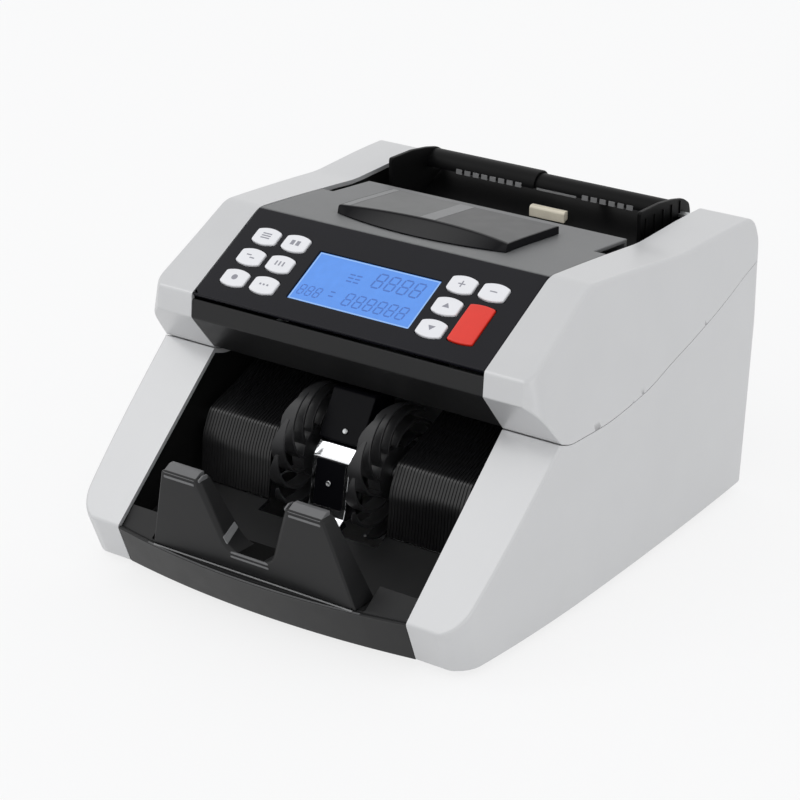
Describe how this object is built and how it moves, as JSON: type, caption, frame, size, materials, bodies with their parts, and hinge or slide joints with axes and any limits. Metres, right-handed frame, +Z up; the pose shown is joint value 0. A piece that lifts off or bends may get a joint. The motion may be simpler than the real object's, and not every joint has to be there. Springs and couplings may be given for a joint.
{
  "type": "banknote counter",
  "caption": "Table-top banknote counter with a sloping control panel, a rear-loading hopper with sliding guides, a front stacker and a rear power inlet.",
  "frame": {"origin": "middle of the object's footprint, on the surface it stands on", "axes": "+X to the operator's right, +Y from the operator towards the machine's rear, +Z up"},
  "size_m": [0.264, 0.3112, 0.1795],
  "materials": {
    "silver_paint": "silver painted moulding, semi-matt",
    "black_plastic": "black moulding, satin",
    "dark_plastic": "dark grey moulding, satin",
    "grey_plastic": "grey moulding, satin",
    "frame_steel": "black painted sheet steel",
    "white_key": "white key cap, satin",
    "red_key": "red key cap, satin",
    "display_blue": "blue lit display behind a clear window",
    "steel": "bare machined steel",
    "chrome": "polished plating",
    "rubber": "black rubber",
    "ivory_rubber": "ivory rubber",
    "circuit_board": "green board"
  },
  "bodies": {
    "case": {"base_plate": "steel", "centre_post": "chrome", "control_board": "circuit_board", "control_panel": "black_plastic", "display_window": "display_blue", "drive_belt": "rubber", "drive_motor": "steel", "fascia": "dark_plastic", "foot_front_left": "rubber", "foot_front_right": "rubber", "foot_rear_left": "rubber", "foot_rear_right": "rubber", "friction_block": "ivory_rubber", "front_base": "black_plastic", "guide_rail": "steel", "hopper_floor": "dark_plastic", "lower_cover_left": "silver_paint", "lower_cover_right": "silver_paint", "note_guide_left": "black_plastic", "note_guide_right": "black_plastic", "pickup_belt": "rubber", "power_inlet": "black_plastic", "power_supply": "steel", "raised_lid": "grey_plastic", "rear_cover": "dark_plastic", "sensor_housing": "black_plastic", "side_plate_left": "frame_steel", "side_plate_right": "frame_steel", "stacker_belt": "rubber", "stop_bracket": "dark_plastic", "throat_plate": "black_plastic", "top_cover": "grey_plastic", "tray_floor": "black_plastic", "upper_cover_left": "silver_paint", "upper_cover_right": "silver_paint"},
    "count_key": {"count_key": "white_key"},
    "batch_key": {"batch_key": "white_key"},
    "add_key": {"add_key": "white_key"},
    "mode_key": {"mode_key": "white_key"},
    "clear_key": {"clear_key": "white_key"},
    "menu_key": {"menu_key": "white_key"},
    "plus_key": {"plus_key": "white_key"},
    "minus_key": {"minus_key": "white_key"},
    "up_key": {"up_key": "white_key"},
    "down_key": {"down_key": "white_key"},
    "start_key": {"start_key": "red_key"},
    "guide_left": {"hopper_guide_left": "black_plastic"},
    "guide_right": {"hopper_guide_right": "black_plastic"},
    "feed": {"feed_shaft": "steel", "feed_roller_left": "rubber", "feed_roller_right": "rubber"},
    "pickup": {"pickup_shaft": "steel", "pickup_roller_left": "rubber", "pickup_roller_right": "rubber"},
    "stacker": {"stacker_shaft": "steel", "stacker_wheel_left": "black_plastic", "stacker_wheel_right": "black_plastic"},
    "motor": {"motor_pulley": "steel"},
    "switch": {"power_switch": "black_plastic"},
    "knob": {"adjusting_knob": "black_plastic"}
  },
  "joints": [
    {"name": "count_press", "type": "slide", "parent": "case", "child": "count_key", "axis": [0, 0.4839, -0.8751], "range_m": [0, 0.0008], "stiffness_N_per_m": 600, "springref_m": -0.0005},
    {"name": "batch_press", "type": "slide", "parent": "case", "child": "batch_key", "axis": [0, 0.4839, -0.8751], "range_m": [0, 0.0008], "stiffness_N_per_m": 600, "springref_m": -0.0005},
    {"name": "add_press", "type": "slide", "parent": "case", "child": "add_key", "axis": [0, 0.4839, -0.8751], "range_m": [0, 0.0008], "stiffness_N_per_m": 600, "springref_m": -0.0005},
    {"name": "mode_press", "type": "slide", "parent": "case", "child": "mode_key", "axis": [0, 0.4839, -0.8751], "range_m": [0, 0.0008], "stiffness_N_per_m": 600, "springref_m": -0.0005},
    {"name": "clear_press", "type": "slide", "parent": "case", "child": "clear_key", "axis": [0, 0.4839, -0.8751], "range_m": [0, 0.0008], "stiffness_N_per_m": 600, "springref_m": -0.0005},
    {"name": "menu_press", "type": "slide", "parent": "case", "child": "menu_key", "axis": [0, 0.4839, -0.8751], "range_m": [0, 0.0008], "stiffness_N_per_m": 600, "springref_m": -0.0005},
    {"name": "plus_press", "type": "slide", "parent": "case", "child": "plus_key", "axis": [0, 0.4839, -0.8751], "range_m": [0, 0.0008], "stiffness_N_per_m": 600, "springref_m": -0.0005},
    {"name": "minus_press", "type": "slide", "parent": "case", "child": "minus_key", "axis": [0, 0.4839, -0.8751], "range_m": [0, 0.0008], "stiffness_N_per_m": 600, "springref_m": -0.0005},
    {"name": "up_press", "type": "slide", "parent": "case", "child": "up_key", "axis": [0, 0.4839, -0.8751], "range_m": [0, 0.0008], "stiffness_N_per_m": 600, "springref_m": -0.0005},
    {"name": "down_press", "type": "slide", "parent": "case", "child": "down_key", "axis": [0, 0.4839, -0.8751], "range_m": [0, 0.0008], "stiffness_N_per_m": 600, "springref_m": -0.0005},
    {"name": "start_press", "type": "slide", "parent": "case", "child": "start_key", "axis": [0, 0.4839, -0.8751], "range_m": [0, 0.0008], "stiffness_N_per_m": 600, "springref_m": -0.0005},
    {"name": "guide_left_slide", "type": "slide", "parent": "case", "child": "guide_left", "axis": [1, 0, 0], "range_m": [-0.006, 0.03]},
    {"name": "guide_right_slide", "type": "slide", "parent": "case", "child": "guide_right", "axis": [-1, 0, 0], "range_m": [-0.006, 0.03]},
    {"name": "feed_spin", "type": "hinge", "parent": "case", "child": "feed", "pos_m": [0, 0.02559, 0.116], "axis": [1, 0, 0], "continuous": true},
    {"name": "pickup_spin", "type": "hinge", "parent": "case", "child": "pickup", "pos_m": [0, 0.09159, 0.12051], "axis": [1, 0, 0], "continuous": true},
    {"name": "stacker_spin", "type": "hinge", "parent": "case", "child": "stacker", "pos_m": [0, -0.05941, 0.06299], "axis": [1, 0, 0], "continuous": true},
    {"name": "motor_spin", "type": "hinge", "parent": "case", "child": "motor", "pos_m": [0, 0.0976, 0.042], "axis": [1, 0, 0], "continuous": true},
    {"name": "switch_rock", "type": "hinge", "parent": "case", "child": "switch", "pos_m": [0.05285, 0.15056, 0.05575], "axis": [1, 0, 0], "range_deg": [-20, 0]},
    {"name": "knob_turn", "type": "hinge", "parent": "case", "child": "knob", "pos_m": [0.028, 0.14897, 0.15977], "axis": [0, 0, 1], "range_deg": [-150, 150]}
  ],
  "couplings": [
    {"joint": "pickup_spin", "follows": "feed_spin", "ratio": 1},
    {"joint": "stacker_spin", "follows": "feed_spin", "ratio": 1},
    {"joint": "motor_spin", "follows": "feed_spin", "ratio": 2}
  ]
}
